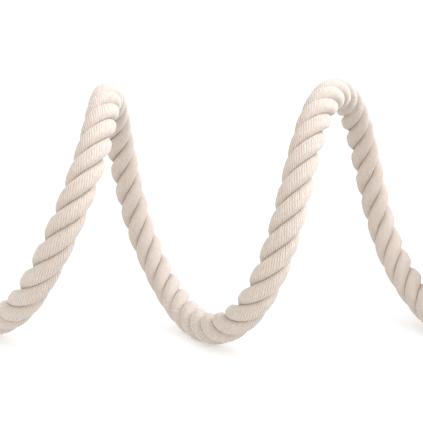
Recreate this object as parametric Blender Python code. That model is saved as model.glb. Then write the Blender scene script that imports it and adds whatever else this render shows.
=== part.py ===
"""A dock line: 4.5 m of soft three-strand cotton rope, 16 mm thick.

From its whipped bitter end the rope stands on edge as an open corkscrew of two turns, comes down to
the floor and runs into a neat round coil. The coil is two turns wide and three turns high, and three
ties of small cord hold it. The rope's other end comes out on top of the coil and ends in an eye splice.

The frame: +Z is up, the floor is z = 0, and the origin is at the middle of the whole line's footprint.
The rope's own solids are plain. A tube stands for each open stretch and a turned ring for the coil.
"""

import math

import bmesh
import bpy
import numpy as np
from mathutils import Vector

MM = 0.001

# Driving dimensions, in millimetres and degrees.
ROPE_DIAMETER = 16.0
GAP = 0.3

COIL_CENTRE = (136.3, -2.0)
COIL_COLUMNS = 2
COIL_ROWS = 3
COIL_MEAN_RADIUS = 84.0
COIL_ENTRY_ANGLE = 210.0
COIL_SEGMENTS = 72

TWINE_DIAMETER = 1.2
TIE_CORD_DIAMETER = 2.4
TIE_WRAPS = 3
TIE_ANGLES = (80.0, 160.0, 290.0)
KNOT_HALF_SIZE = (6.0, 2.9, 5.0)
GROOVE_OVERLAP = 4.0

TOP_START = 1991.0
TOP_STEP = 12.0
SPLICE_START = 2135.0
SPLICE_LENGTH = 110.0
SPLICE_DIAMETER = 24.0
SPLICE_SWELL = 1.6

EYE_THROAT_LENGTH = 14.0
THROAT_SEIZING_LENGTH = 10.0
END_WHIPPING_LENGTH = 18.0
END_WHIPPING_SETBACK = 2.0
TAPER_WHIPPING_LENGTH = 10.0
TAPER_WHIPPING_SETBACK = 2.0
STRAND_END_LENGTH = 9.0
STRAND_SPLAY = 6.0

# The rope's route from the bitter end to the coil, along the middle of the rope.
RUN_POINTS = (
    (-236.5, 46.0, 10.4),
    (-234.2, 27.5, 10.0),
    (-228.0, 10.0, 8.8),
    (-219.5, -8.0, 8.6),
    (-206.5, -30.0, 15.0),
    (-193.2, -50.0, 27.0),
    (-180.9, -66.0, 44.5),
    (-169.5, -75.5, 65.5),
    (-160.0, -76.0, 87.0),
    (-153.2, -67.0, 107.0),
    (-150.2, -49.0, 122.5),
    (-149.8, -23.0, 129.2),
    (-149.4, 4.0, 123.8),
    (-147.8, 25.5, 104.6),
    (-144.0, 37.0, 76.5),
    (-136.7, 37.0, 48.0),
    (-126.5, 25.0, 26.5),
    (-115.0, 1.5, 12.7),
    (-103.0, -26.5, 8.0),
    (-91.0, -51.0, 12.5),
    (-78.5, -69.0, 26.0),
    (-67.6, -78.3, 47.5),
    (-59.0, -78.4, 73.5),
    (-51.5, -69.3, 99.5),
    (-43.2, -51.8, 119.6),
    (-33.7, -27.8, 129.2),
    (-23.6, -2.6, 127.1),
    (-14.4, 18.0, 112.3),
    (-7.1, 30.2, 88.5),
    (-1.4, 32.5, 64.0),
    (4.4, 25.2, 42.2),
    (11.6, 9.3, 25.0),
    (20.0, -12.0, 13.2),
    (28.5, -35.0, 8.2),
)

# Where the rope changes its place in the coil: from, to (degrees along the coil), outwards and upwards.
COIL_MOVES = (
    (0.0, 45.0, -16.4, 0.0),
    (360.0, 400.0, -16.0, 0.0),
    (680.0, 720.0, 0.0, 16.0),
    (1000.0, 1040.0, 16.0, 0.0),
    (1320.0, 1360.0, 0.0, 16.0),
    (1640.0, 1680.0, -16.0, 0.0),
    (1955.0, 2005.0, 0.0, 21.0),
    (2005.0, 2060.0, 8.0, 0.0),
)
COIL_ENTRY_RADIUS = 108.4

# The eye, from the throat round and back to it: onwards from the throat, outwards over the coil, height.
EYE_POINTS = (
    (28.0, 7.0, 61.0),
    (52.0, -1.0, 60.5),
    (76.0, -17.0, 60.0),
    (94.0, -40.0, 59.5),
    (103.0, -65.0, 59.0),
    (102.0, -88.0, 58.0),
    (89.0, -104.0, 57.5),
    (71.0, -110.0, 57.5),
    (55.0, -106.0, 58.0),
    (43.0, -95.0, 58.5),
    (38.0, -82.0, 59.0),
    (38.0, -69.0, 59.5),
    (42.0, -50.0, 60.0),
    (40.0, -29.0, 60.5),
    (28.0, -14.0, 61.0),
)

COLOURS = {
    "rope_cotton": (0.79, 0.70, 0.59),
    "waxed_twine": (0.66, 0.56, 0.43),
    "tie_cord": (0.72, 0.64, 0.52),
}
ROUGHNESS = {
    "rope_cotton": 0.92,
    "waxed_twine": 0.6,
    "tie_cord": 0.9,
}


def clear_scene():
    for item in list(bpy.data.objects):
        bpy.data.objects.remove(item, do_unlink=True)


def material(name, colour, roughness):
    made = bpy.data.materials.new(name)
    made.use_nodes = True
    shader = made.node_tree.nodes["Principled BSDF"]
    shader.inputs["Base Color"].default_value = (*colour, 1.0)
    shader.inputs["Roughness"].default_value = roughness
    shader.inputs["Metallic"].default_value = 0.0
    return made


def add_object(name, data, kind):
    """Link the data as an object in the scene, with a material of its own."""
    made = bpy.data.objects.new(name, data)
    bpy.context.collection.objects.link(made)
    made.data.materials.append(material(f"{name}_{kind}", COLOURS[kind], ROUGHNESS[kind]))
    return made


def ease(share):
    share = min(max(share, 0.0), 1.0)
    return share * share * (3.0 - 2.0 * share)


def around_coil(angle, radius, height):
    """The point at this angle, radius and height about the coil's upright middle line."""
    turn = math.radians(angle)
    return (
        COIL_CENTRE[0] + radius * math.cos(turn),
        COIL_CENTRE[1] + radius * math.sin(turn),
        height,
    )


def coil_radius_and_height(along):
    radius, height = COIL_ENTRY_RADIUS, ROPE_DIAMETER / 2
    for start, end, outwards, upwards in COIL_MOVES:
        share = ease((along - start) / (end - start))
        radius += outwards * share
        height += upwards * share
    return radius, height


def coil_point(along):
    """The rope's middle line in the coil, this many degrees after it enters."""
    radius, height = coil_radius_and_height(along)
    return around_coil(COIL_ENTRY_ANGLE + along, radius, height)


def throat_angle():
    """How many degrees along the coil the splice ends and the eye opens."""
    radius, _ = coil_radius_and_height(SPLICE_START)
    return SPLICE_START + math.degrees(SPLICE_LENGTH / radius)


def place_on_top(along):
    """A point of the rope on top of the coil, its direction there, and the direction outwards."""
    turn = math.radians(COIL_ENTRY_ANGLE + along)
    outwards = Vector((math.cos(turn), math.sin(turn), 0.0))
    onwards = Vector((-math.sin(turn), math.cos(turn), 0.0))
    return Vector(coil_point(along)), onwards, outwards


def smooth_line(points, step):
    """Points at even steps along the cubic spline through the given points."""
    knots = np.array(points, float)
    chord = np.concatenate([[0.0], np.cumsum(np.linalg.norm(np.diff(knots, axis=0), axis=1))])
    gaps = np.diff(chord)
    count = len(knots)
    system = np.eye(count)
    target = np.zeros((count, 3))
    for i in range(1, count - 1):
        system[i, i - 1 : i + 2] = gaps[i - 1], 2.0 * (gaps[i - 1] + gaps[i]), gaps[i]
        slope_after = (knots[i + 1] - knots[i]) / gaps[i]
        slope_before = (knots[i] - knots[i - 1]) / gaps[i - 1]
        target[i] = 6.0 * (slope_after - slope_before)
    bend = np.linalg.solve(system, target)

    fine = np.linspace(0.0, chord[-1], 40 * count)
    piece = np.clip(np.searchsorted(chord, fine, side="right") - 1, 0, count - 2)
    width = gaps[piece][:, None]
    before = (chord[piece + 1] - fine)[:, None]
    after = (fine - chord[piece])[:, None]
    line = (bend[piece] * before**3 + bend[piece + 1] * after**3) / (6.0 * width)
    line += (knots[piece] / width - bend[piece] * width / 6.0) * before
    line += (knots[piece + 1] / width - bend[piece + 1] * width / 6.0) * after

    run = np.concatenate([[0.0], np.cumsum(np.linalg.norm(np.diff(line, axis=0), axis=1))])
    places = np.linspace(0.0, run[-1], max(2, round(run[-1] / step) + 1))
    return np.column_stack([np.interp(places, run, line[:, k]) for k in range(3)])


def tube(name, points, diameter, scales=None):
    """A rope solid: a poly curve with a round bevel and flat filled ends. Points are in millimetres."""
    curve = bpy.data.curves.new(name, "CURVE")
    curve.dimensions = "3D"
    curve.bevel_depth = diameter / 2 * MM
    curve.bevel_resolution = 4
    curve.use_fill_caps = True
    spline = curve.splines.new("POLY")
    spline.points.add(len(points) - 1)
    for i, place in enumerate(points):
        spline.points[i].co = (*(float(c) * MM for c in place), 1.0)
        spline.points[i].radius = 1.0 if scales is None else scales[i]
    spline.use_smooth = True
    return add_object(name, curve, "rope_cotton")


def mesh_object(name, shape, kind, sharp_angle=40.0):
    """Turn a bmesh in metres into a smooth-shaded object."""
    bmesh.ops.recalc_face_normals(shape, faces=shape.faces)
    mesh = bpy.data.meshes.new(name)
    shape.to_mesh(mesh)
    shape.free()
    mesh.shade_smooth()
    mesh.set_sharp_from_angle(angle=math.radians(sharp_angle))
    return add_object(name, mesh, kind)


def bridge_loops_of(shape, loops, closed):
    """Join neighbouring rings of vertices with faces, and the last to the first if closed."""
    pairs = list(zip(loops, loops[1:]))
    if closed:
        pairs.append((loops[-1], loops[0]))
    for first, second in pairs:
        count = len(first)
        for i in range(count):
            j = (i + 1) % count
            shape.faces.new((first[i], first[j], second[j], second[i]))


def rounded_outline(half_width, half_height, corner, offset, corner_steps=5):
    """A rectangle with round corners, grown by the offset, as (across, up) points about its middle."""
    outline = []
    radius = corner + offset
    centres = (
        (half_width - corner, half_height - corner, 0.0),
        (corner - half_width, half_height - corner, 90.0),
        (corner - half_width, corner - half_height, 180.0),
        (half_width - corner, corner - half_height, 270.0),
    )
    for across, up, start in centres:
        for i in range(corner_steps + 1):
            turn = math.radians(start + 90.0 * i / corner_steps)
            outline.append((across + radius * math.cos(turn), up + radius * math.sin(turn)))
    return outline


def coil_half_sizes():
    return COIL_COLUMNS * ROPE_DIAMETER / 2, COIL_ROWS * ROPE_DIAMETER / 2


def make_coil():
    """The stored coil as one turned ring, with a shallow groove in its flat bottom for each tie."""
    half_width, half_height = coil_half_sizes()
    outline = rounded_outline(half_width, half_height, ROPE_DIAMETER / 2, 0.0)
    shape = bmesh.new()
    loops = []
    for i in range(COIL_SEGMENTS):
        angle = 360.0 * i / COIL_SEGMENTS
        ring = [around_coil(angle, COIL_MEAN_RADIUS + across, half_height + up) for across, up in outline]
        loops.append([shape.verts.new(Vector(place) * MM) for place in ring])
    bridge_loops_of(shape, loops, closed=True)
    coil = mesh_object("rope_coil", shape, "rope_cotton")
    for number, angle in enumerate(TIE_ANGLES, start=1):
        cutter = make_groove_cutter(number, angle)
        cut = coil.modifiers.new(f"groove_{number}", "BOOLEAN")
        cut.operation = "DIFFERENCE"
        cut.solver = "EXACT"
        cut.object = cutter
    return coil


def make_groove_cutter(number, angle):
    """A box across the coil's bottom, as wide as the tie that passes under it."""
    half_width, _ = coil_half_sizes()
    depth = TIE_CORD_DIAMETER + 3.0 * GAP
    length = 2.0 * (half_width + GROOVE_OVERLAP)
    width = TIE_WRAPS * TIE_CORD_DIAMETER + 2.0 * GAP
    shape = bmesh.new()
    bmesh.ops.create_cube(shape, size=1.0)
    bmesh.ops.scale(shape, vec=(length * MM, width * MM, 2.0 * depth * MM), verts=shape.verts)
    mesh = bpy.data.meshes.new(f"groove_cutter_{number}")
    shape.to_mesh(mesh)
    shape.free()
    cutter = bpy.data.objects.new(mesh.name, mesh)
    bpy.context.collection.objects.link(cutter)
    cutter.location = Vector(around_coil(angle, COIL_MEAN_RADIUS, 0.0)) * MM
    cutter.rotation_euler = (0.0, 0.0, math.radians(angle))
    cutter.hide_render = True
    cutter.display_type = "WIRE"
    return cutter


def make_tie(number, angle):
    """A flat band of three wraps of small cord round the coil's bundle of turns."""
    half_width, half_height = coil_half_sizes()
    corner = ROPE_DIAMETER / 2
    half_band = TIE_WRAPS * TIE_CORD_DIAMETER / 2
    inner = rounded_outline(half_width, half_height, corner, GAP)
    outer = rounded_outline(half_width, half_height, corner, GAP + TIE_CORD_DIAMETER)
    turn = math.radians(angle)
    sideways = Vector((-math.sin(turn), math.cos(turn), 0.0))

    def ring(outline, lowest, side):
        places = []
        for across, up in outline:
            height = max(half_height + up, lowest)
            base = Vector(around_coil(angle, COIL_MEAN_RADIUS + across, height))
            places.append(shape.verts.new((base + sideways * side) * MM))
        return places

    shape = bmesh.new()
    loops = [
        ring(inner, TIE_CORD_DIAMETER, -half_band),
        ring(outer, 0.0, -half_band),
        ring(outer, 0.0, half_band),
        ring(inner, TIE_CORD_DIAMETER, half_band),
    ]
    bridge_loops_of(shape, loops, closed=True)
    return mesh_object(f"coil_tie_{number}", shape, "tie_cord")


def make_tie_knot(number, angle):
    """The tie's reef knot, a flattened lump on the coil's outer side."""
    half_width, half_height = coil_half_sizes()
    along, thick, tall = KNOT_HALF_SIZE
    shape = bmesh.new()
    bmesh.ops.create_icosphere(shape, subdivisions=2, radius=1.0)
    bmesh.ops.scale(shape, vec=(thick * MM, along * MM, tall * MM), verts=shape.verts)
    radius = COIL_MEAN_RADIUS + half_width + GAP + TIE_CORD_DIAMETER + GAP + thick
    knot = mesh_object(f"tie_knot_{number}", shape, "tie_cord")
    knot.location = Vector(around_coil(angle, radius, half_height)) * MM
    knot.rotation_euler = (0.0, 0.0, math.radians(angle))
    return knot


def sleeve(name, middle, axis, side, half_spread, inner_radius, thickness, length):
    """A band of twine round one rope, or round two side by side when half_spread isn't zero."""
    axis = Vector(axis).normalized()
    side = Vector(side).normalized()
    up = axis.cross(side)
    steps = 12

    def ring(radius, shift):
        places = []
        for half, start in ((half_spread, -90.0), (-half_spread, 90.0)):
            for i in range(steps + 1):
                turn = math.radians(start + 180.0 * i / steps)
                across = half + radius * math.cos(turn)
                if half_spread == 0.0 and i == steps:
                    continue
                place = Vector(middle) + axis * shift + side * across + up * (radius * math.sin(turn))
                places.append(shape.verts.new(place * MM))
        return places

    shape = bmesh.new()
    outer_radius = inner_radius + thickness
    loops = [
        ring(inner_radius, -length / 2),
        ring(outer_radius, -length / 2),
        ring(outer_radius, length / 2),
        ring(inner_radius, length / 2),
    ]
    bridge_loops_of(shape, loops, closed=True)
    return mesh_object(name, shape, "waxed_twine")


def make_run():
    """The open corkscrew, from the bitter end to the coil's outer side."""
    line = smooth_line([*RUN_POINTS, coil_point(0.0)], 2.0 * ROPE_DIAMETER)
    tube("rope_run", line, ROPE_DIAMETER)
    return line


def make_end_whipping(line):
    """Twine round the bitter end, and the three strands' cut ends past it."""
    start, onwards = Vector(line[0]), (Vector(line[1]) - Vector(line[0])).normalized()
    middle = start + onwards * (END_WHIPPING_SETBACK + END_WHIPPING_LENGTH / 2)
    side = onwards.cross(Vector((0.0, 0.0, 1.0))).normalized()
    radius = ROPE_DIAMETER / 2 + GAP
    sleeve("end_whipping", middle, onwards, side, 0.0, radius, TWINE_DIAMETER, END_WHIPPING_LENGTH)
    up = side.cross(onwards)
    strand_radius = ROPE_DIAMETER / 4 - GAP
    ring_radius = (strand_radius + GAP) / math.cos(math.radians(30.0))
    lean = math.tan(math.radians(STRAND_SPLAY))
    for number in range(3):
        turn = math.radians(90.0 + 120.0 * number)
        outwards = side * math.cos(turn) + up * math.sin(turn)
        first = start - onwards * (GAP + strand_radius * lean) + outwards * ring_radius
        last = first + (outwards * lean - onwards) * STRAND_END_LENGTH
        tube(f"strand_end_{number + 1}", [first, (first + last) / 2, last], 2.0 * strand_radius)


def make_top():
    """The rope from the top of the coil to the thin end of the splice, and the whipping there."""
    end, onwards, outwards = place_on_top(SPLICE_START)
    straight = TAPER_WHIPPING_LENGTH + TAPER_WHIPPING_SETBACK
    places = [coil_point(along) for along in np.arange(TOP_START, SPLICE_START - TOP_STEP, TOP_STEP)]
    line = smooth_line([*places, end - onwards * straight], 2.0 * ROPE_DIAMETER)
    tube("rope_top", [*line, end - onwards * GAP], ROPE_DIAMETER)
    middle = end - onwards * (TAPER_WHIPPING_LENGTH / 2 + GAP)
    radius = ROPE_DIAMETER / 2 + GAP
    sleeve("taper_whipping", middle, onwards, outwards, 0.0, radius, TWINE_DIAMETER, TAPER_WHIPPING_LENGTH)


def make_splice():
    """The tucked part of the splice: thick at the throat, tapering to the rope's own thickness."""
    throat = throat_angle()
    straight = ROPE_DIAMETER / 2
    first, first_onwards, _ = place_on_top(SPLICE_START)
    last, last_onwards, _ = place_on_top(throat)
    bend = [coil_point(along) for along in np.linspace(SPLICE_START, throat, 8)[1:-1]]
    points = [first, first + first_onwards * straight, *bend, last - last_onwards * straight, last]
    thin = ROPE_DIAMETER / SPLICE_DIAMETER
    shares = [i / (len(points) - 1) for i in range(len(points))]
    scales = [thin + (1.0 - thin) * ease(SPLICE_SWELL * share) for share in shares]
    tube("eye_splice", points, SPLICE_DIAMETER, scales)


def make_eye():
    """The eye: from the throat round and back to it, with a seizing round both legs at the throat."""
    middle, onwards, outwards = place_on_top(throat_angle())
    leg = outwards * (ROPE_DIAMETER / 2 + GAP / 2)
    straight = [middle + onwards * reach for reach in (GAP, EYE_THROAT_LENGTH)]
    floor_point = Vector((middle.x, middle.y, 0.0))
    loop = [floor_point + onwards * a + outwards * b + Vector((0.0, 0.0, c)) for a, b, c in EYE_POINTS]
    knots = [straight[1] + leg, *loop, straight[1] - leg]
    curve = [Vector(place) for place in smooth_line(knots, 1.25 * ROPE_DIAMETER)]
    tube("eye_loop", [straight[0] + leg, *curve, straight[0] - leg], ROPE_DIAMETER)
    sleeve(
        "throat_seizing",
        (straight[0] + straight[1]) / 2,
        onwards,
        outwards,
        ROPE_DIAMETER / 2 + GAP / 2,
        ROPE_DIAMETER / 2 + GAP,
        2.0 * TWINE_DIAMETER,
        THROAT_SEIZING_LENGTH,
    )


def main():
    clear_scene()
    line = make_run()
    make_end_whipping(line)
    make_coil()
    for number, angle in enumerate(TIE_ANGLES, start=1):
        make_tie(number, angle)
        make_tie_knot(number, angle)
    make_top()
    make_splice()
    make_eye()


main()
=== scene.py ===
"""The looks of a cotton dock line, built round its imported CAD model.

One rope, laid from three strands of soft yarn, runs from its whipped bitter end through an open corkscrew
into a tied coil, and ends in an eye splice on top of the coil. The route repeats the CAD model's route.
Lengths are in millimetres until a mesh is made. Angles round the coil, of the lights and of the
camera's height are in degrees, and all other turns are in radians.
"""

import math

import bpy
import numpy as np
from mathutils import Matrix, Vector


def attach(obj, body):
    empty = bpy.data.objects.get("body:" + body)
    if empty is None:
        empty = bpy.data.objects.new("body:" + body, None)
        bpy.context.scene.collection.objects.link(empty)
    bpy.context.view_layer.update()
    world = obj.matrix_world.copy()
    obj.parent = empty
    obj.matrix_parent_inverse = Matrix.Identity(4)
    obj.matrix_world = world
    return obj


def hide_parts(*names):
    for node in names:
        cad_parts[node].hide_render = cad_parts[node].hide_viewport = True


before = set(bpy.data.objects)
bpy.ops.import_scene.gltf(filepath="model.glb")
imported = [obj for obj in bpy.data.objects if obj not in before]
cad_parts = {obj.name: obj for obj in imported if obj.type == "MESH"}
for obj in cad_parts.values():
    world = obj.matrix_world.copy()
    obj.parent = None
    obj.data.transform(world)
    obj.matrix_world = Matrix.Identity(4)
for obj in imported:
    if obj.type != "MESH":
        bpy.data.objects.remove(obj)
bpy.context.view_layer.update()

MM = 0.001
TAU = 2.0 * math.pi
UP = np.array([0.0, 0.0, 1.0])
NO_TURN = 1e-18

# The rope.
ROPE_DIAMETER = 16.0
STRANDS = 3
LAY_LENGTH = 42.4
# Soft rope's lay isn't even: pairs of distance along the rope and how far ahead the lay is there.
LAY_DRIFT = (
    (0.0, 13.0),
    (100.0, 10.4),
    (150.0, -1.9),
    (168.0, -4.4),
    (195.0, -3.6),
    (245.0, 0.8),
    (320.0, 0.6),
    (390.0, 3.6),
    (525.0, 4.9),
    (560.0, 4.4),
    (740.0, 13.0),
    (800.0, 12.2),
    (930.0, 16.0),
    (4550.0, 140.0),
)
# A strand's distance from the rope's middle, its section, and its yarns.
STRAND_CENTRE = 4.2
STRAND_HALF_HEIGHT = 3.85
STRAND_HALF_WIDTH = 4.6
STRAND_FULLNESS = 2.4
YARNS = 22
YARN_STEPS = 4
YARN_HEIGHT = 0.3
YARN_MEAN_CREST = 0.7
YARN_TURNS = 2.18

# How far along the rope the closely seen stretch ends, and how far apart the rings of vertices lie.
SEEN_LENGTH = 930.0
SEEN_STEP = 1.25
STORED_STEP = 2.4

# How closely the route's own points lie, and the points that carry it through the coil and the splice.
ROUTE_STEP = 0.6
SPLINE_FINENESS = 40
COIL_POINT_STEP = 15.0
SPLICE_POINTS = 6
TUCK_POINTS = 8

# Yarns: how their height and place vary, and the fibres in them, for the cotton's texture.
YARN_SEED = 11
WANDER_SEED = 71
UNEVEN_STEP = 9.0
YARN_UNEVENNESS = 0.045
YARN_WANDER = 0.014
TINT_SEED = 31
FIBRE_SCALE = 16.0
FIBRE_LENGTH = 2.4
FIBRE_SHIFT = 999.0

# The stored coil, the splice and the eye, as in the CAD model.
GAP = 0.3
COIL_CENTRE = (136.3, -2.0)
COIL_MEAN_RADIUS = 84.0
COIL_HALF_WIDTH = 16.0
COIL_HALF_HEIGHT = 24.0
COIL_ENTRY_ANGLE = 210.0
COIL_ENTRY_RADIUS = 108.4
SPLICE_START = 2135.0
SPLICE_LENGTH = 110.0
EYE_THROAT_LENGTH = 14.0
LEG_OFFSET = 8.15

# The splice: its strands' size and places, and the tucked strands' own lay.
SPLICE_CENTRE = 5.4
SPLICE_RISE = 2.6
SPLICE_HALF_HEIGHT = 3.5
SPLICE_HALF_WIDTH = 4.4
SPLICE_TAPER = 0.625
SPLICE_FALL = 16.0
SPLICE_LAY = 60.0
SPLICE_STRAIGHT = 18.0
TUCK_LAY = 80.0
TUCK_TAIL_ANGLE = 3.5
TUCK_THIN = 0.25
TUCK_YARN_TURN = 0.1
THROAT_REACH = 4.0
TUCK_REACH = 8.0

# Twine: its lay, the whippings and how they squeeze the rope, and the seizing.
TWINE_DIAMETER = 1.2
TWINE_LAY = 4.0
TURN_POINTS = 20
WINDING_MARGIN = 10.0
WINDING_STEP = 0.5
END_WHIPPING_LENGTH = 18.0
END_WHIPPING_SETBACK = 2.0
TAPER_WHIPPING_LENGTH = 10.0
PINCH_DEPTH = 0.04
PINCH_EASE = 5.0
SEIZING_TURNS = 8
SEIZING_START = 2.6
SEIZING_OVERHANG = 0.8
SEIZING_SQUARENESS = 5.0

# All small cord and twine: its plies and how finely it is made.
CORD_PLIES = 3
CORD_SIDES = 18
CORD_STEP = 0.7
CORD_LOBE_DEPTH = 0.2
CORD_END_SIZE = 0.6

# The ties, and how the rope's lowest turns rise over them and rest on the floor.
TIE_CORD_DIAMETER = 2.4
TIE_LAY = 7.5
TIE_WRAPS = 3
TIE_ANGLES = (80.0, 160.0, 290.0)
TIE_END_TRIM = 9.0
TIE_LIFT = 2.6
TIE_LIFT_REACH = 14.0
TIE_LIFT_EASE = 9.0
TIE_CORNER_STEPS = 8
COIL_FLOOR_MARGIN = 1.2
FLOOR_SOFTNESS = 1.2
FLOOR_SINK = 0.5

# The reef knot: up, sideways and outwards from its middle, for half of the lower bight.
KNOT_HALF_THICKNESS = 2.9
KNOT_STEP = 0.5
KNOT_BIGHT = (
    (-3.4, -1.3, -1.2),
    (-1.7, -1.6, -0.1),
    (0.0, -2.7, 1.2),
    (1.7, -3.9, 0.1),
    (3.2, -2.6, -1.1),
    (3.7, 0.0, -1.25),
)
KNOT_LEGS = (
    ((-11.0, 3.4, -4.4), (-8.5, 2.2, -4.2), (-6.0, 0.2, -2.9)),
    ((11.0, -3.4, -4.4), (8.5, -2.9, -3.6), (6.0, -2.0, -0.8)),
)
KNOT_TAILS = (
    ((-5.8, 1.9, -0.3), (-8.5, 3.4, 0.3), (-12.0, 5.8, -0.6)),
    ((5.8, 1.9, 1.0), (8.5, 3.2, 0.6), (11.5, 5.6, -0.4)),
)

# The strands' cut ends: how many yarns each ring has, and how they spread, lean, curl and are trimmed.
TUFT_SEED = 5
TUFT_RINGS = ((0.0, 1), (1.0, 6), (2.0, 12))
TUFT_RING_TURN = 0.3
TUFT_POINTS = 14
TUFT_STEP = 0.45
TUFT_YARN_DIAMETER = 1.7
TUFT_YARN_LAY = 6.0
TUFT_YARN_SPACING = 1.55
TUFT_ROOT = 5.0
TUFT_LEAN = 0.12
TUFT_LEAN_SPREAD = 0.06
TUFT_SPLAY = 0.035
TUFT_CURL_SPREAD = 0.012
TUFT_TRIM = (-1.2, 0.4)
TUFT_FIBRE_SCALE = 2.0
END_DIRECTION_POINT = 4
STRAND_END_LENGTH = 9.0

# The rope's middle line where it isn't coiled, from the bitter end, as in the CAD model.
RUN_POINTS = (
    (-236.5, 46.0, 10.4),
    (-234.2, 27.5, 10.0),
    (-228.0, 10.0, 8.8),
    (-219.5, -8.0, 8.6),
    (-206.5, -30.0, 15.0),
    (-193.2, -50.0, 27.0),
    (-180.9, -66.0, 44.5),
    (-169.5, -75.5, 65.5),
    (-160.0, -76.0, 87.0),
    (-153.2, -67.0, 107.0),
    (-150.2, -49.0, 122.5),
    (-149.8, -23.0, 129.2),
    (-149.4, 4.0, 123.8),
    (-147.8, 25.5, 104.6),
    (-144.0, 37.0, 76.5),
    (-136.7, 37.0, 48.0),
    (-126.5, 25.0, 26.5),
    (-115.0, 1.5, 12.7),
    (-103.0, -26.5, 8.0),
    (-91.0, -51.0, 12.5),
    (-78.5, -69.0, 26.0),
    (-67.6, -78.3, 47.5),
    (-59.0, -78.4, 73.5),
    (-51.5, -69.3, 99.5),
    (-43.2, -51.8, 119.6),
    (-33.7, -27.8, 129.2),
    (-23.6, -2.6, 127.1),
    (-14.4, 18.0, 112.3),
    (-7.1, 30.2, 88.5),
    (-1.4, 32.5, 64.0),
    (4.4, 25.2, 42.2),
    (11.6, 9.3, 25.0),
    (20.0, -12.0, 13.2),
    (28.5, -35.0, 8.2),
)
# Where the rope changes its place in the coil: from, to (degrees along the coil), outwards and upwards.
COIL_MOVES = (
    (0.0, 45.0, -16.4, 0.0),
    (360.0, 400.0, -16.0, 0.0),
    (680.0, 720.0, 0.0, 16.0),
    (1000.0, 1040.0, 16.0, 0.0),
    (1320.0, 1360.0, 0.0, 16.0),
    (1640.0, 1680.0, -16.0, 0.0),
    (1955.0, 2005.0, 0.0, 21.0),
    (2005.0, 2060.0, 8.0, 0.0),
)
# The eye, from the throat round and back to it: onwards from the throat, outwards over the coil, height.
EYE_POINTS = (
    (28.0, 7.0, 61.0),
    (52.0, -1.0, 60.5),
    (76.0, -17.0, 60.0),
    (94.0, -40.0, 59.5),
    (103.0, -65.0, 59.0),
    (102.0, -88.0, 58.0),
    (89.0, -104.0, 57.5),
    (71.0, -110.0, 57.5),
    (55.0, -106.0, 58.0),
    (43.0, -95.0, 58.5),
    (38.0, -82.0, 59.0),
    (38.0, -69.0, 59.5),
    (42.0, -50.0, 60.0),
    (40.0, -29.0, 60.5),
    (28.0, -14.0, 61.0),
)

# Cotton's colours, from its lightest fibres to the painted shade between the strands and yarns, and the
# small cords'.
COTTON_LIGHT = (0.66, 0.60, 0.55)
COTTON_SHADE = (0.44, 0.37, 0.315)
COTTON_TAN = (0.59, 0.49, 0.40)
COTTON_GREY = (0.51, 0.46, 0.43)
COTTON_GROOVE_SHADE = (0.30, 0.21, 0.14)
TWINE_LIGHT = (0.62, 0.50, 0.35)
TWINE_DARK = (0.42, 0.31, 0.20)
TIE_LIGHT = (0.70, 0.60, 0.47)
TIE_DARK = (0.50, 0.41, 0.30)

# The stage. Each light has its strength, how widely it spreads, the way its rays go, and its colour.
WORLD_STRENGTH = 1.0
FLOOR_HALF_SIZE = 30.0
FLOOR_WHITE = (0.85, 0.85, 0.85)
FLOOR_GLOW = 0.35
LIGHTS = {
    "key": (3.4, 60.0, (-0.8, 0.0, -0.7), (0.96, 0.98, 1.08)),
    "front": (1.4, 60.0, (0.0, 1.0, -0.25), (1.0, 0.97, 0.92)),
}

# The camera: the middle of the picture, how far away it is, and its tilt.
VIEW_TARGET = (-96.2, -23.0, 68.7)
VIEW_DISTANCE = 620.0
VIEW_ELEVATION = 8.0
VIEW_ROLL = -0.017
VIEW_LENS = 99.74
VIEW_SENSOR = 36.0


# ---------------------------------------------------------------- lines in space


def ease(share):
    """0 below 0, 1 above 1, and a smooth rise between them."""
    share = np.clip(share, 0.0, 1.0)
    return share * share * (3.0 - 2.0 * share)


def unit(vector):
    return vector / np.linalg.norm(vector, axis=-1, keepdims=True)


def arc_lengths(line):
    return np.concatenate([[0.0], np.cumsum(np.linalg.norm(np.diff(line, axis=0), axis=1))])


def resampled(line, places):
    run = arc_lengths(line)
    return np.column_stack([np.interp(places, run, line[:, k]) for k in range(3)])


def smooth_line(points, step):
    """Points at even steps along the cubic spline through the given points."""
    knots = np.array(points, float)
    chord = arc_lengths(knots)
    gaps = np.diff(chord)
    count = len(knots)
    system = np.eye(count)
    target = np.zeros((count, 3))
    for i in range(1, count - 1):
        system[i, i - 1 : i + 2] = gaps[i - 1], 2.0 * (gaps[i - 1] + gaps[i]), gaps[i]
        slope_after = (knots[i + 1] - knots[i]) / gaps[i]
        slope_before = (knots[i] - knots[i - 1]) / gaps[i - 1]
        target[i] = 6.0 * (slope_after - slope_before)
    bend = np.linalg.solve(system, target)

    fine = np.linspace(0.0, chord[-1], SPLINE_FINENESS * count)
    piece = np.clip(np.searchsorted(chord, fine, side="right") - 1, 0, count - 2)
    width = gaps[piece][:, None]
    before = (chord[piece + 1] - fine)[:, None]
    after = (fine - chord[piece])[:, None]
    line = (bend[piece] * before**3 + bend[piece + 1] * after**3) / (6.0 * width)
    line += (knots[piece] / width - bend[piece] * width / 6.0) * before
    line += (knots[piece + 1] / width - bend[piece + 1] * width / 6.0) * after
    length = arc_lengths(line)[-1]
    return resampled(line, np.linspace(0.0, length, max(2, round(length / step) + 1)))


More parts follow.
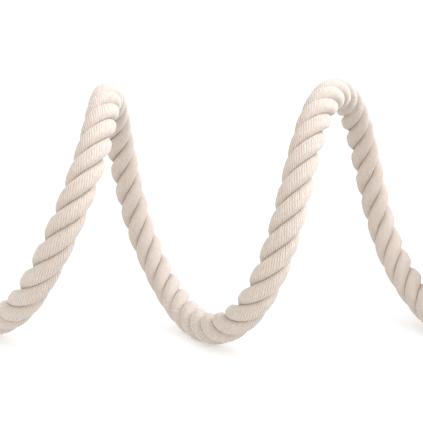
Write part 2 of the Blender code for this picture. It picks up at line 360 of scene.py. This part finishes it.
def frames_along(line, first_normal=UP):
    """Tangents, normals and binormals that follow the line without twisting about it."""
    tangents = unit(np.gradient(line, axis=0))
    normals = np.empty_like(line)
    start = np.cross(tangents[0], np.cross(first_normal, tangents[0]))
    normals[0] = unit(start)
    for i in range(len(line) - 1):
        step = line[i + 1] - line[i]
        size = step @ step
        normal = normals[i] - 2.0 / size * (step @ normals[i]) * step
        tangent = tangents[i] - 2.0 / size * (step @ tangents[i]) * step
        turn = tangents[i + 1] - tangent
        size = turn @ turn
        if size > NO_TURN:
            normal = normal - 2.0 / size * (turn @ normal) * turn
        normals[i + 1] = normal
    return tangents, normals, np.cross(tangents, normals)


def around_coil(angle, radius, height):
    """The point at this angle, radius and height about the coil's upright middle line."""
    turn = math.radians(angle)
    return np.array(
        [COIL_CENTRE[0] + radius * math.cos(turn), COIL_CENTRE[1] + radius * math.sin(turn), height]
    )


def coil_radius_and_height(along):
    """The middle line's distance from the coil's middle, and its height, this many degrees along it."""
    radius, height = COIL_ENTRY_RADIUS, ROPE_DIAMETER / 2
    for start, end, outwards, upwards in COIL_MOVES:
        share = ease((along - start) / (end - start))
        radius += outwards * share
        height += upwards * share
    return radius, height


def coil_point(along):
    """The rope's middle line in the coil, this many degrees after it enters."""
    radius, height = coil_radius_and_height(along)
    return around_coil(COIL_ENTRY_ANGLE + along, radius, height)


def throat_angle():
    """How many degrees along the coil the splice ends and the eye opens."""
    radius, _ = coil_radius_and_height(SPLICE_START)
    return SPLICE_START + math.degrees(SPLICE_LENGTH / radius)


def before_throat_angle():
    """How many degrees before the throat the rope begins to bend aside into the eye's leg."""
    return math.degrees(SPLICE_STRAIGHT / coil_radius_and_height(SPLICE_START)[0])


def place_on_top(along):
    """A point of the rope on top of the coil, its direction there, and the direction outwards."""
    turn = math.radians(COIL_ENTRY_ANGLE + along)
    outwards = np.array([math.cos(turn), math.sin(turn), 0.0])
    onwards = np.array([-math.sin(turn), math.cos(turn), 0.0])
    return coil_point(along), onwards, outwards


def rope_route():
    """The rope's whole middle line, and how far along it the splice, the throat and the end lie."""
    throat = throat_angle()
    middle, onwards, outwards = place_on_top(throat)
    floor_point = middle * (1.0, 1.0, 0.0)
    stored = [coil_point(along) for along in np.arange(0.0, SPLICE_START, COIL_POINT_STEP)]
    splice_end = throat - before_throat_angle()
    splice = [coil_point(along) for along in np.linspace(SPLICE_START, splice_end, SPLICE_POINTS)]
    leg = outwards * LEG_OFFSET
    straight = [middle + onwards * reach for reach in (THROAT_REACH, EYE_THROAT_LENGTH)]
    eye = [floor_point + onwards * a + outwards * b + UP * c for a, b, c in EYE_POINTS]
    knots = [
        *RUN_POINTS,
        *stored,
        *splice,
        straight[0] + leg,
        straight[1] + leg,
        *eye,
        straight[1] - leg,
        straight[0] - leg,
    ]
    line = smooth_line(knots, ROUTE_STEP)
    run = arc_lengths(line)

    def distance_to(point):
        return run[np.argmin(np.linalg.norm(line - point, axis=1))]

    before_eye_middle = run < distance_to(eye[len(eye) // 2])
    from_throat = np.linalg.norm(line - (straight[0] + leg), axis=1)
    marks = {
        "coil": distance_to(coil_point(0.0)),
        "splice": distance_to(coil_point(SPLICE_START)),
        "throat": run[np.argmin(np.where(before_eye_middle, from_throat, np.inf))],
        "end": run[-1],
    }
    return line, marks


# ---------------------------------------------------------------- meshes


def mesh_piece(name, grids, material, layers=None):
    """One object from grids of points (along, around, xyz), each a closed tube with filled ends.

    The layers are named values at the points: for each name, an array for each grid.
    """
    places, quads, ends = [], [], []
    start = 0
    for grid in grids:
        rows, columns, _ = grid.shape
        places.append(grid.reshape(-1, 3))
        index = start + np.arange(rows * columns).reshape(rows, columns)
        ahead = np.roll(index, -1, axis=1)
        quads.append(np.stack([index[:-1], ahead[:-1], ahead[1:], index[1:]], axis=-1).reshape(-1, 4))
        ends += [index[0, ::-1], index[-1]]
        start += rows * columns
    quads = np.concatenate(quads)
    loops = np.concatenate([quads.ravel(), *ends])
    sizes = np.concatenate([np.full(len(quads), 4), [len(end) for end in ends]])
    mesh = bpy.data.meshes.new(name)
    mesh.vertices.add(start)
    mesh.vertices.foreach_set("co", (np.concatenate(places) * MM).astype(np.float32).ravel())
    mesh.loops.add(len(loops))
    mesh.loops.foreach_set("vertex_index", loops.astype(np.int32))
    mesh.polygons.add(len(sizes))
    mesh.polygons.foreach_set("loop_start", (np.cumsum(sizes) - sizes).astype(np.int32))
    mesh.polygons.foreach_set("loop_total", sizes.astype(np.int32))
    mesh.update(calc_edges=True)
    mesh.validate()
    mesh.shade_smooth()
    for key, values in (layers or {}).items():
        width = values[0].shape[-1] if values[0].ndim == 3 else 1
        flat = np.concatenate([value.reshape(-1, width) for value in values]).astype(np.float32)
        layer = mesh.attributes.new(key, "FLOAT" if width == 1 else "FLOAT_VECTOR", "POINT")
        layer.data.foreach_set("value" if width == 1 else "vector", flat.ravel())
    mesh.materials.append(material)
    piece = bpy.data.objects.new(name, mesh)
    bpy.context.scene.collection.objects.link(piece)
    return piece


def stands_for(piece, slot, *nodes):
    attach(piece, "root")
    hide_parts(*nodes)
    return piece


def strand(line, frames, phase, centre, half_height, half_width, yarn_turn, number):
    """One strand laid about the line: its points, how far out they are, and where they lie on the yarns.

    The section is measured square to the rope, so it is wider than it is high. The columns follow the
    yarns, which turn about the strand's own middle against the lay.
    """
    _, normals, binormals = frames
    column = np.arange(YARNS * YARN_STEPS) / (YARNS * YARN_STEPS)
    run = arc_lengths(line)
    turn = TAU * column[None, :] - yarn_turn[:, None] + uneven(run, WANDER_SEED + number, YARN_WANDER)
    cosine, sine = np.cos(turn), np.sin(turn)
    fullness = np.abs(cosine) ** STRAND_FULLNESS + np.abs(sine) ** STRAND_FULLNESS
    round_off = fullness ** (-1.0 / STRAND_FULLNESS)
    thickness = uneven(run, YARN_SEED + number, YARN_UNEVENNESS)
    crest = np.abs(np.cos(math.pi * YARNS * column))
    relief = YARN_HEIGHT * (crest - YARN_MEAN_CREST)[None, :] + thickness
    outwards = centre[:, None] + (half_height[:, None] + relief) * round_off * cosine
    sideways = (half_width[:, None] + relief) * round_off * sine
    radial = normals * np.cos(phase)[:, None] + binormals * np.sin(phase)[:, None]
    across = binormals * np.cos(phase)[:, None] - normals * np.sin(phase)[:, None]
    offset = outwards[..., None] * radial[:, None, :] + sideways[..., None] * across[:, None, :]
    around = np.broadcast_to(TAU * column, cosine.shape)
    along = np.broadcast_to(run[:, None], cosine.shape)
    fibre = (
        FIBRE_SCALE * np.cos(around),
        FIBRE_SCALE * np.sin(around),
        along / FIBRE_LENGTH + FIBRE_SHIFT * number,
    )
    tints = np.random.default_rng(TINT_SEED + number).random(YARNS)
    return {
        "points": line[:, None, :] + offset,
        "fibre": np.stack(fibre, axis=-1),
        "depth": np.hypot(outwards, sideways) / (ROPE_DIAMETER / 2),
        "ridge": np.broadcast_to(crest, cosine.shape),
        "tint": np.broadcast_to(np.repeat(tints, YARN_STEPS), cosine.shape),
    }


def uneven(run, seed, spread):
    """Slow, small changes along a strand, with values of their own for each yarn."""
    random = np.random.default_rng(seed)
    count = int(run[-1] / UNEVEN_STEP) + 3
    marks = np.arange(count) * UNEVEN_STEP
    changes = random.normal(0.0, spread, (count, YARNS))
    each_yarn = np.column_stack([np.interp(run, marks, changes[:, k]) for k in range(YARNS)])
    return np.repeat(each_yarn, YARN_STEPS, axis=1)


def strands_piece(name, strands, material):
    """One piece from several strands, with the values that the cotton material reads."""
    grids = [part["points"] for part in strands]
    layers = {key: [part[key] for part in strands] for key in ("fibre", "depth", "ridge", "tint")}
    return mesh_piece(name, grids, material, layers)


def twisted_cord(line, diameter, lay, step=CORD_STEP, first_normal=UP):
    """A small laid cord: one grid of points with a soft lobe for each ply, and the lobes turn along it."""
    length = arc_lengths(line)[-1]
    places = np.linspace(0.0, length, max(4, round(length / step)))
    line = resampled(line, places)
    _, normals, binormals = frames_along(line, first_normal)
    around = TAU * np.arange(CORD_SIDES) / CORD_SIDES
    lobes = np.abs(np.cos(CORD_PLIES / 2 * (around[None, :] - TAU * places[:, None] / lay)))
    radius = diameter / 2 * (1.0 - CORD_LOBE_DEPTH * (1.0 - lobes))
    radius[[0, -1]] *= CORD_END_SIZE
    outwards = np.cos(around)[None, :, None] * normals[:, None, :]
    outwards += np.sin(around)[None, :, None] * binormals[:, None, :]
    return line[:, None, :] + radius[..., None] * outwards


# ---------------------------------------------------------------- the rope


def rope_places(marks):
    """Where the rope's rings of vertices lie along it: close together where it is seen closely."""
    seen = np.arange(0.0, SEEN_LENGTH, SEEN_STEP)
    stored = np.arange(SEEN_LENGTH, marks["end"], STORED_STEP)
    return np.concatenate([seen, stored])


def splice_share(places, marks):
    """How much of the full splice there is: none, growing to 1 along the taper, and none past the throat."""
    along = (places - marks["splice"]) / (marks["throat"] - marks["splice"])
    rising = ease(along / SPLICE_TAPER)
    falling = 1.0 - ease((places - marks["throat"] + SPLICE_FALL) / SPLICE_FALL)
    return rising * falling


def rope_twist(places, marks):
    """How far the strands have turned about the rope at these places, in radians."""
    distances, drifts = np.array(LAY_DRIFT).T
    twist = TAU * (places + np.interp(places, distances, drifts)) / LAY_LENGTH
    slack = (1.0 - LAY_LENGTH / SPLICE_LAY) * splice_share(places, marks)
    steps = np.diff(places, prepend=places[0])
    return twist - np.cumsum(slack * steps) * TAU / LAY_LENGTH


def tuck_twist(places, marks):
    """How far the tucked strands have turned about the rope, against its lay."""
    return -TAU * (places - marks["splice"]) / TUCK_LAY


def rise_at_crossings(places, marks):
    """1 where the rope's own strands pass over the tucked ones, and -1 where they pass under them."""
    crossings = STRANDS * (rope_twist(places, marks) - tuck_twist(places, marks)) / TAU
    return np.cos(math.pi * crossings)


def pinch(places, marks):
    """How much the two whippings squeeze the rope, from 0 to 1."""
    squeezed = np.zeros_like(places)
    under_end_whipping = (0.0, END_WHIPPING_SETBACK + END_WHIPPING_LENGTH)
    under_taper_whipping = (marks["splice"] - TAPER_WHIPPING_LENGTH, marks["splice"])
    for start, end in (under_end_whipping, under_taper_whipping):
        inside = ease((places - start) / PINCH_EASE + 1.0) * ease((end - places) / PINCH_EASE + 1.0)
        squeezed = np.maximum(squeezed, inside)
    return squeezed


def rest_on_floor(points):
    """Press what would sink into the floor flat on it, and lift the coil's lowest turns over the ties."""
    x, y, z = points[..., 0], points[..., 1], points[..., 2]
    angle = np.degrees(np.arctan2(y - COIL_CENTRE[1], x - COIL_CENTRE[0]))
    radius = np.hypot(x - COIL_CENTRE[0], y - COIL_CENTRE[1])
    floor = np.zeros_like(z)
    for tie in TIE_ANGLES:
        away = np.radians(np.abs((angle - tie + 180.0) % 360.0 - 180.0)) * radius
        floor = np.maximum(floor, TIE_LIFT * ease((TIE_LIFT_REACH - away) / TIE_LIFT_EASE))
    in_coil = np.abs(radius - COIL_MEAN_RADIUS) < COIL_FLOOR_MARGIN * COIL_HALF_WIDTH
    floor = np.where(in_coil, floor, 0.0)
    soft = FLOOR_SOFTNESS + floor
    pressed = floor + (z + FLOOR_SINK) * (soft - floor) / (soft + FLOOR_SINK)
    points[..., 2] = np.where(z < soft, np.maximum(pressed, floor), z)
    return points


def make_rope(route, marks, material):
    """The rope itself: three strands from the bitter end to the throat at the end of the eye."""
    places = rope_places(marks)
    line = resampled(route, places)
    frames = frames_along(line)
    twist = rope_twist(places, marks)
    share = splice_share(places, marks)
    size = 1.0 - PINCH_DEPTH * pinch(places, marks)
    centre = STRAND_CENTRE * size + share * (SPLICE_CENTRE - STRAND_CENTRE)
    centre += SPLICE_RISE * share * rise_at_crossings(places, marks)
    half_height = STRAND_HALF_HEIGHT * size + share * (SPLICE_HALF_HEIGHT - STRAND_HALF_HEIGHT)
    half_width = STRAND_HALF_WIDTH * size + share * (SPLICE_HALF_WIDTH - STRAND_HALF_WIDTH)
    strands = []
    for k in range(STRANDS):
        phase = twist + TAU * k / STRANDS
        part = strand(line, frames, phase, centre, half_height, half_width, YARN_TURNS * twist, k)
        rest_on_floor(part["points"])
        strands.append(part)
    rope = strands_piece("rope", strands, material)
    return stands_for(rope, "rope_cotton", "rope_run", "rope_coil", "rope_top", "eye_loop")


def make_splice(route, marks, material):
    """The rope's own three strands, tucked back into it against the lay, over one and under one."""
    throat = throat_angle()
    middle, onwards, outwards = place_on_top(throat)
    leg = middle - outwards * LEG_OFFSET
    angles = np.linspace(SPLICE_START - TUCK_TAIL_ANGLE, throat - before_throat_angle(), TUCK_POINTS)
    knots = [coil_point(along) for along in angles]
    knots += [leg + onwards * reach for reach in (THROAT_REACH, TUCK_REACH)]
    line = smooth_line(knots, SEEN_STEP)
    run = arc_lengths(line)
    start = run[np.argmin(np.linalg.norm(line - coil_point(SPLICE_START), axis=1))]
    places = marks["splice"] + run - start
    along_rope = rope_places(marks)
    _, rope_normals, _ = frames_along(resampled(route, along_rope))
    frames = frames_along(line, rope_normals[np.searchsorted(along_rope, places[0])])
    share = splice_share(places, marks)
    tail = ease((places - places[0]) / (marks["throat"] - places[0]) / SPLICE_TAPER)
    thickness = TUCK_THIN + (1.0 - TUCK_THIN) * tail
    centre = STRAND_CENTRE + share * (SPLICE_CENTRE - STRAND_CENTRE)
    centre -= SPLICE_RISE * share * rise_at_crossings(places, marks)
    half_height = thickness * (STRAND_HALF_HEIGHT + share * (SPLICE_HALF_HEIGHT - STRAND_HALF_HEIGHT))
    half_width = thickness * (STRAND_HALF_WIDTH + share * (SPLICE_HALF_WIDTH - STRAND_HALF_WIDTH))
    yarn_turn = TUCK_YARN_TURN * run
    strands = []
    for k in range(STRANDS):
        phase = tuck_twist(places, marks) + TAU * k / STRANDS
        number = STRANDS + k
        strands.append(strand(line, frames, phase, centre, half_height, half_width, yarn_turn, number))
    tucks = strands_piece("eye_splice_tucks", strands, material)
    return stands_for(tucks, "rope_cotton", "eye_splice")


# ---------------------------------------------------------------- twine and ties


def wound(route, start, end, radius, diameter, lay):
    """Twine wound turn beside turn round the rope between two distances along it."""
    turns = (end - start - diameter) / diameter
    count = int(TURN_POINTS * turns) + 1
    along = start + diameter / 2 + np.linspace(0.0, turns * diameter, count)
    near = np.arange(max(0.0, start - WINDING_MARGIN), end + WINDING_MARGIN, WINDING_STEP)
    _, near_normals, near_binormals = frames_along(resampled(route, near))
    normals = np.column_stack([np.interp(along, near, near_normals[:, k]) for k in range(3)])
    binormals = np.column_stack([np.interp(along, near, near_binormals[:, k]) for k in range(3)])
    angle = TAU * np.linspace(0.0, turns, count)[:, None]
    path = resampled(route, along) + radius * (np.cos(angle) * normals + np.sin(angle) * binormals)
    return twisted_cord(path, diameter, lay, first_normal=binormals[0])


def make_whippings(route, marks, material):
    """Waxed twine round the bitter end, and round the thin end of the splice."""
    radius = ROPE_DIAMETER / 2 + GAP + TWINE_DIAMETER / 2
    ends = {
        "end_whipping": (END_WHIPPING_SETBACK, END_WHIPPING_SETBACK + END_WHIPPING_LENGTH),
        "taper_whipping": (marks["splice"] - TAPER_WHIPPING_LENGTH, marks["splice"]),
    }
    pieces = []
    for node, (start, end) in ends.items():
        winding = wound(route, start, end, radius, TWINE_DIAMETER, TWINE_LAY)
        piece = mesh_piece(node + "_twine", [winding], material)
        pieces.append(stands_for(piece, "waxed_twine", node))
    return pieces


def seizing_round_turns(middle, onwards, outwards, radius):
    """The path of the turns side by side about the eye's two legs."""
    path = []
    for i in range(SEIZING_TURNS * TURN_POINTS + 1):
        turn = i / TURN_POINTS
        angle = TAU * (turn % 1.0)
        side = LEG_OFFSET if math.cos(angle) >= 0.0 else -LEG_OFFSET
        reach = SEIZING_START + turn * TWINE_DIAMETER
        path.append(
            middle
            + onwards * reach
            + outwards * (side + radius * math.cos(angle))
            + UP * (radius * math.sin(angle))
        )
    return np.array(path)


def seizing_crossing_turn(centre, onwards, half_long, half_high):
    """The path of one turn between the eye's two legs, over the round turns: a rounded rectangle."""
    count = 4 * TURN_POINTS
    path = []
    for i in range(count + 1):
        cosine, sine = math.cos(TAU * i / count), math.sin(TAU * i / count)
        fullness = abs(cosine) ** SEIZING_SQUARENESS + abs(sine) ** SEIZING_SQUARENESS
        reach = fullness ** (-1.0 / SEIZING_SQUARENESS)
        path.append(centre + onwards * (half_long * reach * cosine) + UP * (half_high * reach * sine))
    return np.array(path)


def make_throat_seizing(material):
    """Round turns of twine about the eye's two legs, and two crossing turns that pull them tight."""
    middle, onwards, outwards = place_on_top(throat_angle())
    radius = ROPE_DIAMETER / 2 + GAP + TWINE_DIAMETER / 2
    path = seizing_round_turns(middle, onwards, outwards, radius)
    grids = [twisted_cord(path, TWINE_DIAMETER, TWINE_LAY, first_normal=onwards)]
    length = SEIZING_TURNS * TWINE_DIAMETER
    half_long = length / 2 + SEIZING_OVERHANG * TWINE_DIAMETER
    for side in (-TWINE_DIAMETER / 2, TWINE_DIAMETER / 2):
        centre = middle + onwards * (SEIZING_START + length / 2) + outwards * side
        path = seizing_crossing_turn(centre, onwards, half_long, radius + TWINE_DIAMETER)
        grids.append(twisted_cord(path, TWINE_DIAMETER, TWINE_LAY, first_normal=outwards))
    piece = mesh_piece("throat_seizing_twine", grids, material)
    return stands_for(piece, "waxed_twine", "throat_seizing")


def make_tie(number, angle, material):
    """Three wraps of small cord about the coil's bundle of turns."""
    half_cord = TIE_CORD_DIAMETER / 2
    corner = ROPE_DIAMETER / 2 + GAP + half_cord
    half_width = COIL_HALF_WIDTH - ROPE_DIAMETER / 2
    half_height = COIL_HALF_HEIGHT - ROPE_DIAMETER / 2
    turn = math.radians(angle)
    sideways = np.array([-math.sin(turn), math.cos(turn), 0.0])
    outline = bundle_outline(half_width, half_height, corner)
    count = len(outline)
    path = []
    for i in range(TIE_WRAPS * count + 1):
        across, high = outline[i % count]
        shift = (i / count - TIE_WRAPS / 2) * TIE_CORD_DIAMETER
        base = around_coil(angle, COIL_MEAN_RADIUS + across, max(COIL_HALF_HEIGHT + high, half_cord))
        path.append(base + sideways * shift)
    path = np.array(path)
    path = resampled(path, np.arange(TIE_END_TRIM, arc_lengths(path)[-1] - TIE_END_TRIM, CORD_STEP))
    grid = twisted_cord(path, TIE_CORD_DIAMETER, TIE_LAY, first_normal=sideways)
    piece = mesh_piece(f"coil_tie_{number}_cord", [grid], material)
    return stands_for(piece, "tie_cord", f"coil_tie_{number}")


def bundle_outline(half_width, half_height, corner):
    """Points round a rectangle with round corners, from the middle of its outer side."""
    points = []
    centres = (
        (half_width, half_height, 0.0),
        (-half_width, half_height, 90.0),
        (-half_width, -half_height, 180.0),
        (half_width, -half_height, 270.0),
    )
    for across, high, start in centres:
        for i in range(TIE_CORNER_STEPS + 1):
            turn = math.radians(start + 90.0 * i / TIE_CORNER_STEPS)
            points.append((across + corner * math.cos(turn), high + corner * math.sin(turn)))
    return [(half_width + corner, 0.0), *points]


def make_tie_knot(number, angle, material):
    """A reef knot: two bights that lock in each other, each with a leg to the tie and a short tail."""
    turn = math.radians(angle)
    outwards = np.array([math.cos(turn), math.sin(turn), 0.0])
    sideways = np.array([-math.sin(turn), math.cos(turn), 0.0])
    wrap_radius = COIL_MEAN_RADIUS + COIL_HALF_WIDTH + GAP + TIE_CORD_DIAMETER
    radius = wrap_radius + GAP + KNOT_HALF_THICKNESS
    middle = around_coil(angle, radius, COIL_HALF_HEIGHT)
    mirrored = [(high, -side, out) for high, side, out in reversed(KNOT_BIGHT[:-1])]
    grids = []
    for flip, leg, tail in zip((1.0, -1.0), KNOT_LEGS, KNOT_TAILS):
        bight = [(flip * high, side, flip * out) for high, side, out in (*KNOT_BIGHT, *mirrored)]
        places = np.array([*leg, *bight, *tail])
        line = smooth_line(middle + places @ np.array([UP, sideways, outwards]), KNOT_STEP)
        grids.append(twisted_cord(line, TIE_CORD_DIAMETER, TIE_LAY, KNOT_STEP, sideways))
    piece = mesh_piece(f"tie_knot_{number}_cord", grids, material)
    return stands_for(piece, "tie_cord", f"tie_knot_{number}")


def loose_yarn(spread, random):
    """One loose yarn's line past the rope's end: how far on, how far out and how far across it lies."""
    length = STRAND_END_LENGTH + random.uniform(*TUFT_TRIM)
    lean = random.normal(0.0, TUFT_LEAN_SPREAD, 2) + spread * TUFT_SPLAY + (TUFT_LEAN, 0.0)
    curl = random.normal(0.0, TUFT_CURL_SPREAD, 2)
    reach = np.linspace(-TUFT_ROOT, length, TUFT_POINTS)
    past_end = np.maximum(reach, 0.0)
    out = STRAND_CENTRE + spread[0] + lean[0] * past_end + curl[0] * reach**2
    across = spread[1] + lean[1] * past_end + curl[1] * reach**2
    return np.column_stack([reach, out, across])


def loose_yarn_layers(grids, random):
    """The cotton's named values for loose yarns: no deep grooves, so no painted shade, and a tint for each
    yarn.
    """
    outside = [np.ones(grid.shape[:2]) for grid in grids]
    return {
        "fibre": [TUFT_FIBRE_SCALE * grid for grid in grids],
        "depth": outside,
        "ridge": outside,
        "tint": [random.random() * values for values in outside],
    }


def make_strand_ends(route, material):
    """The strands' cut ends past the whipping, each a brush of loose yarns."""
    random = np.random.default_rng(TUFT_SEED)
    start, onwards = route[0], unit(route[END_DIRECTION_POINT] - route[0])
    side = unit(np.cross(onwards, UP))
    high = np.cross(side, onwards)
    pieces = []
    for number in range(STRANDS):
        turn = math.radians(90.0 + 360.0 / STRANDS * number)
        outwards = side * math.cos(turn) + high * math.sin(turn)
        axes = np.array([-onwards, outwards, np.cross(onwards, outwards)])
        grids = []
        for ring, count in TUFT_RINGS:
            for i in range(count):
                angle = TAU * (i / count) + TUFT_RING_TURN * ring
                spread = np.array([math.cos(angle), math.sin(angle)]) * ring * TUFT_YARN_SPACING
                path = start + loose_yarn(spread, random) @ axes
                path[:, 2] = np.maximum(path[:, 2], TUFT_YARN_DIAMETER / 2)
                grids.append(twisted_cord(path, TUFT_YARN_DIAMETER, TUFT_YARN_LAY, TUFT_STEP))
        layers = loose_yarn_layers(grids, random)
        piece = mesh_piece(f"strand_end_{number + 1}_yarns", grids, material, layers)
        pieces.append(stands_for(piece, "rope_cotton", f"strand_end_{number + 1}"))
    return pieces


# ---------------------------------------------------------------- materials


def add_node(tree, kind, **values):
    """A shader node with its inputs set; an underscore stands for a space in an input's name."""
    made = tree.nodes.new("ShaderNode" + kind)
    for key, value in values.items():
        made.inputs[key.replace("_", " ")].default_value = value
    return made


def mixed(tree, factor, first, second):
    """A colour between two others; each may be a colour or a socket, and the factor is a socket."""
    mix = tree.nodes.new("ShaderNodeMix")
    mix.data_type = "RGBA"
    tree.links.new(factor, mix.inputs["Factor"])
    for socket, value in ((mix.inputs[6], first), (mix.inputs[7], second)):
        if isinstance(value, tuple):
            socket.default_value = (*value, 1.0)
        else:
            tree.links.new(value, socket)
    return mix.outputs[2]


def ranged(tree, value, low, high, to_low=0.0, to_high=1.0):
    """The value, stretched so that low and high become the new low and high."""
    made = add_node(tree, "MapRange", From_Min=low, From_Max=high, To_Min=to_low, To_Max=to_high)
    tree.links.new(value, made.inputs["Value"])
    return made.outputs["Result"]


def multiplied(tree, first, second):
    made = tree.nodes.new("ShaderNodeMath")
    made.operation = "MULTIPLY"
    tree.links.new(first, made.inputs[0])
    tree.links.new(second, made.inputs[1])
    return made.outputs["Value"]


def noise(tree, vector, scale, detail, roughness=0.55):
    made = add_node(tree, "TexNoise", Scale=scale, Detail=detail, Roughness=roughness)
    tree.links.new(vector, made.inputs["Vector"])
    return made.outputs["Fac"]


def layer_of(tree, name):
    made = tree.nodes.new("ShaderNodeAttribute")
    made.attribute_name = name
    return made


def new_material(name, roughness, sheen):
    made = bpy.data.materials.new(name)
    made.use_nodes = True
    tree = made.node_tree
    shader = tree.nodes["Principled BSDF"]
    shader.inputs["Roughness"].default_value = roughness
    shader.inputs["Sheen Weight"].default_value = sheen
    shader.inputs["Sheen Roughness"].default_value = 0.5
    return made, tree, shader


def add_bump(tree, shader, height, distance, strength):
    bump = add_node(tree, "Bump", Strength=strength, Distance=distance)
    tree.links.new(height, bump.inputs["Height"])
    tree.links.new(bump.outputs["Normal"], shader.inputs["Normal"])


def make_rope_cotton():
    """Undyed cotton: streaky fibres, a tint for each yarn, painted shade in flecks between the yarns and
    painted shade in the grooves between the strands.
    """
    made, tree, shader = new_material("rope_cotton", roughness=0.93, sheen=0.5)
    fibre = layer_of(tree, "fibre").outputs["Vector"]
    place = tree.nodes.new("ShaderNodeTexCoord").outputs["Object"]
    streaks = ranged(tree, noise(tree, fibre, scale=1.2, detail=5.0, roughness=0.7), 0.35, 0.65)
    clouds = ranged(tree, noise(tree, place, scale=70.0, detail=2.0), 0.35, 0.65, to_high=0.25)
    tint = ranged(tree, layer_of(tree, "tint").outputs["Fac"], 0.0, 1.0, to_high=0.5)
    # Painted shade: the gaps between yarns are darkened to dark brown, in flecks where the noise is high.
    gap = ranged(tree, layer_of(tree, "ridge").outputs["Fac"], 0.0, 0.7, to_low=1.0, to_high=0.0)
    gap_shade_fleck = ranged(tree, noise(tree, fibre, scale=1.3, detail=4.0, roughness=0.7), 0.4, 0.6)
    # Painted shade: darker where the surface lies deep, in the grooves between the strands.
    groove_shade = ranged(tree, layer_of(tree, "depth").outputs["Fac"], 0.57, 0.73, to_low=0.9, to_high=0.0)
    colour = mixed(tree, streaks, COTTON_SHADE, COTTON_LIGHT)
    colour = mixed(tree, tint, colour, COTTON_TAN)
    colour = mixed(tree, clouds, colour, COTTON_GREY)
    colour = mixed(tree, multiplied(tree, gap, gap_shade_fleck), colour, COTTON_GROOVE_SHADE)
    colour = mixed(tree, groove_shade, colour, COTTON_GROOVE_SHADE)
    tree.links.new(colour, shader.inputs["Base Color"])
    fuzz = noise(tree, fibre, scale=1.6, detail=4.0, roughness=0.65)
    add_bump(tree, shader, fuzz, distance=0.0004, strength=0.5)
    return made


def make_small_cord_material(name, light, dark, roughness, sheen):
    """Twine or small cord: fine fibres and slow changes of tone."""
    made, tree, shader = new_material(name, roughness, sheen)
    place = tree.nodes.new("ShaderNodeTexCoord").outputs["Object"]
    fine = noise(tree, place, scale=2600.0, detail=3.0)
    slow = ranged(tree, noise(tree, place, scale=180.0, detail=2.0), 0.35, 0.65, to_high=0.4)
    colour = mixed(tree, ranged(tree, fine, 0.3, 0.7), dark, light)
    colour = mixed(tree, slow, colour, dark)
    tree.links.new(colour, shader.inputs["Base Color"])
    add_bump(tree, shader, fine, distance=0.0002, strength=0.5)
    return made


# ---------------------------------------------------------------- camera and stage


def make_camera():
    data = bpy.data.cameras.new("camera")
    data.lens = VIEW_LENS
    data.sensor_width = VIEW_SENSOR
    camera = bpy.data.objects.new("camera", data)
    bpy.context.scene.collection.objects.link(camera)
    slope = math.radians(VIEW_ELEVATION)
    forward = Vector((0.0, math.cos(slope), -math.sin(slope)))
    up = Vector((0.0, math.sin(slope), math.cos(slope)))
    right = Vector((1.0, 0.0, 0.0))
    rolled_right = right * math.cos(VIEW_ROLL) + up * math.sin(VIEW_ROLL)
    rolled_up = up * math.cos(VIEW_ROLL) - right * math.sin(VIEW_ROLL)
    turn = Matrix((rolled_right, rolled_up, -forward)).transposed().to_4x4()
    place = (Vector(VIEW_TARGET) - forward * VIEW_DISTANCE) * MM
    camera.matrix_world = Matrix.Translation(place) @ turn
    bpy.context.scene.camera = camera


def make_world():
    scene = bpy.context.scene
    scene.view_settings.view_transform = "Standard"
    scene.world = bpy.data.worlds.new("studio")
    scene.world.use_nodes = True
    background = scene.world.node_tree.nodes["Background"]
    background.inputs["Color"].default_value = (1.0, 1.0, 1.0, 1.0)
    background.inputs["Strength"].default_value = WORLD_STRENGTH


def make_floor():
    """A plain pale floor with a faint glow of its own, so that only the contact shadows show on it."""
    mesh = bpy.data.meshes.new("floor")
    sides = ((-1.0, -1.0), (1.0, -1.0), (1.0, 1.0), (-1.0, 1.0))
    corners = [(FLOOR_HALF_SIZE * x, FLOOR_HALF_SIZE * y, 0.0) for x, y in sides]
    mesh.from_pydata(corners, [], [(0, 1, 2, 3)])
    made, _, shader = new_material("floor_white", roughness=0.9, sheen=0.0)
    shader.inputs["Base Color"].default_value = (*FLOOR_WHITE, 1.0)
    shader.inputs["Emission Color"].default_value = (1.0, 1.0, 1.0, 1.0)
    shader.inputs["Emission Strength"].default_value = FLOOR_GLOW
    mesh.materials.append(made)
    floor = bpy.data.objects.new("floor", mesh)
    bpy.context.scene.collection.objects.link(floor)
    return floor


def make_light(name, energy, spread, direction, colour, floor):
    """A soft distant light that leaves the floor out; the direction is the way its rays go."""
    data = bpy.data.lights.new(name, "SUN")
    data.energy = energy
    data.color = colour
    data.angle = math.radians(spread)
    light = bpy.data.objects.new(name, data)
    light.rotation_euler = Vector(direction).to_track_quat("-Z", "Y").to_euler()
    bpy.context.scene.collection.objects.link(light)
    left_out = bpy.data.collections.new(f"left_out_by_{name}")
    left_out.objects.link(floor)
    left_out.collection_objects[0].light_linking.link_state = "EXCLUDE"
    light.light_linking.receiver_collection = left_out


# ---------------------------------------------------------------- all of it


def main():
    make_camera()
    make_world()
    floor = make_floor()
    for name, light in LIGHTS.items():
        make_light(name, *light, floor)

    cotton = make_rope_cotton()
    twine = make_small_cord_material("waxed_twine", TWINE_LIGHT, TWINE_DARK, roughness=0.55, sheen=0.0)
    cord = make_small_cord_material("tie_cord", TIE_LIGHT, TIE_DARK, roughness=0.9, sheen=0.1)
    route, marks = rope_route()
    rope = make_rope(route, marks, cotton)
    others = [make_splice(route, marks, cotton)]
    others += make_strand_ends(route, cotton)
    others += make_whippings(route, marks, twine)
    others.append(make_throat_seizing(twine))
    for number, angle in enumerate(TIE_ANGLES, start=1):
        others.append(make_tie(number, angle, cord))
        others.append(make_tie_knot(number, angle, cord))


main()
